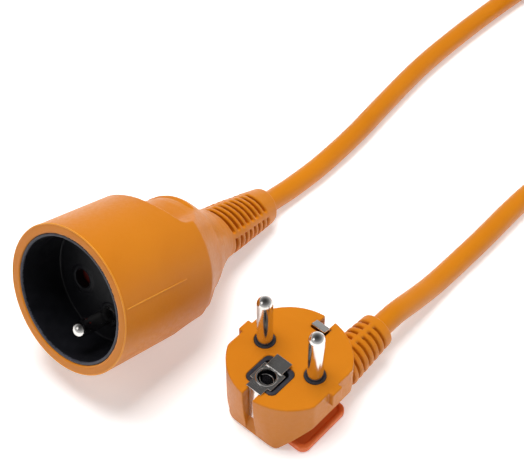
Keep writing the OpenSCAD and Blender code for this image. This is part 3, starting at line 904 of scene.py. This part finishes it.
def leaves_field(x, y, z):
    """The sprung leaves that grip an outlet's earth pin."""
    dx = x + EARTH
    r = np.hypot(dx, y)
    # two curved leaves that close towards each other below the rim
    bow = np.maximum(np.hypot(dx - 0.7, y), np.hypot(dx + 0.7, y)) - 2.45
    leaves = np.maximum(np.abs(bow) - 0.13, 0.45 - np.abs(dx))
    leaves = meet(leaves, slab(z, -9, -0.4), 0.08)
    root = np.maximum(np.abs(r - 2.58) - 0.14, slab(z, -9, -7.5))
    return np.minimum(leaves, root)


# the pull handle: x from the hinge, y from between the pins, z from the floor
PLATE_LOW, PLATE_TOP, DISH_FLOOR = 0.05, 2.65, 2.0
PLATE_Y, PLATE_SIZE, DISH_SIZE = -5, (20, 23, 2.6), (17.4, 20.4, 2.0)
SLOT_Y, SLOT_SIZE = -4.5, (12, 15, 4)
NECK_BOX = (-6.4, 6.4, 5, 10.4, PLATE_LOW, PLATE_TOP)
HINGE_UP, BARREL_HALF = 2.0, 6.4


def handle_field(x, y, z):
    """The pull handle: a slotted plate and its hinge barrel."""
    hinge = np.hypot(y - (HINGE.y - MIDDLE.y), z - HINGE_UP)
    barrel = meet(hinge - LUG_R, np.abs(x) - BARREL_HALF, 0.4)
    neck = block(x, y, z, NECK_BOX, 0.6)
    outline = rounded_rect(x, y - PLATE_Y, *PLATE_SIZE)
    plate = meet(outline, slab(z, PLATE_LOW, PLATE_TOP), 0.7)
    body = fuse(fuse(plate, neck, 0.8), barrel, 0.5)
    slot = np.maximum(rounded_rect(x, y - SLOT_Y, *SLOT_SIZE), slab(z, -9, 9))
    body = carve(body, slot, 0.7)
    # the upper side is dished, which leaves a raised lip round the edge
    dish = meet(rounded_rect(x, y - PLATE_Y, *DISH_SIZE), DISH_FLOOR - z, 0.4)
    body = carve(body, dish, 0.4)
    return carve(body, np.maximum(hinge - BARREL_BORE_R, np.abs(x) - 20), 0.1)


def add_plug():
    solid("plug_moulding", plug_field, (-19.5, -19, -21), (32, 19, 1), 0.3, PLUG,
          "orange_moulding", replaces="plug_body")
    solid("plug_bridge", bridge_field, (-15, -13.5, -11), (5, 13.5, 0.8), 0.22, PLUG,
          "grey_insulator_plug", replaces="pin_bridge")
    solid("earth_plate", plate_field, (-16.1, -4.3, -0.4), (-1.7, 4.3, 1.5), 0.08, PLUG,
          "nickel_plate", replaces="earth_strip")
    solid("earth_strap", strap_field, (-16.2, -3.1, -14.8), (15.8, 3.1, 1.9), 0.15, PLUG,
          "nickel_plate")
    solid("earth_leaves", leaves_field, (-13.2, -3.2, -9.4), (-6.8, 3.2, 0.3), 0.1, PLUG,
          "nickel_plate", replaces="earth_contact")
    for name, y in (("line_pin", HALF), ("neutral_pin", -HALF)):
        lathe(name + "_bright", pin_outline(PIN_LEN), PLUG @ Matrix.Translation((0, y, 0)),
              "nickel_plate", name)
    solid("handle_moulding", handle_field, (-11, -17.5, -0.6), (11, 13.2, 4.6), 0.25, HANDLE,
          "orange_handle", body="handle", replaces="pull_handle")


# ---------------------------------------------------------------- scene, in metres
FLOOR_SIZE, FLOOR_Z = 6, -0.0002
LAMP_TARGET = (0.03, -0.02, 0.02)
# name, place, size, power in watts, and whether it shows in shiny surfaces: only the left
# one does, and it lights the metal edges that face it
LAMPS = (("left", (-0.75, 0.35, 0.75), 0.5, 0.9, True),
         ("key", (0.05, 0.15, 1.05), 0.6, 12.8, False),
         ("right", (0.55, -0.6, 0.6), 0.5, 1.3, False))
# grey level of the surroundings from the horizon, 0, to straight up, 1, and their strength
SKY = ((0.0, 0.70), (0.3, 0.62), (0.5, 0.32), (0.72, 0.18), (1.0, 0.05))
SKY_STRENGTH = 0.85
SKY_BLUE = 1.02  # blue over grey


def repaint_nodes():
    """The carried-over CAD nodes take the same materials."""
    slots = {s["node"]: s["material_slot"] for s in record["subparts"]}
    for node, obj in frame["nodes"].items():
        obj.data.materials.clear()
        obj.data.materials.append(MATERIAL[slots[node]])


def add_floor():
    bpy.ops.mesh.primitive_plane_add(size=FLOOR_SIZE, location=(0, 0, FLOOR_Z))
    floor = bpy.context.object
    floor.name = "studio_floor"
    floor.data.materials.append(floor_material())


def add_world():
    """White round the horizon and darker overhead, which gives the metal its contrast."""
    world = bpy.data.worlds.new("studio")
    bpy.context.scene.world = world
    world.use_nodes = True
    tree = world.node_tree
    coord = tree.nodes.new("ShaderNodeTexCoord")
    split = tree.nodes.new("ShaderNodeSeparateXYZ")
    ramp = tree.nodes.new("ShaderNodeValToRGB")
    tree.links.new(coord.outputs["Generated"], split.inputs[0])
    tree.links.new(split.outputs["Z"], ramp.inputs["Fac"])
    set_stops(ramp.color_ramp, [(pos, (v, v, v * SKY_BLUE)) for pos, v in SKY])
    back = tree.nodes["Background"]
    tree.links.new(ramp.outputs["Color"], back.inputs["Color"])
    back.inputs["Strength"].default_value = SKY_STRENGTH


def add_lights():
    for name, place, size, power, shows in LAMPS:
        data = bpy.data.lights.new(name, "AREA")
        data.shape = "SQUARE"
        data.size = size
        data.energy = power
        lamp = bpy.data.objects.new(name, data)
        bpy.context.collection.objects.link(lamp)
        lamp.location = place
        back = Vector(place) - Vector(LAMP_TARGET)
        lamp.rotation_euler = back.to_track_quat("Z", "Y").to_euler()
        lamp.visible_glossy = shows


add_camera()
cable = add_cord()
strap = add_strap()
bpy.context.scene.view_settings.view_transform = "Standard"
add_world()
repaint_nodes()
add_socket()
add_plug()
add_floor()
add_lights()
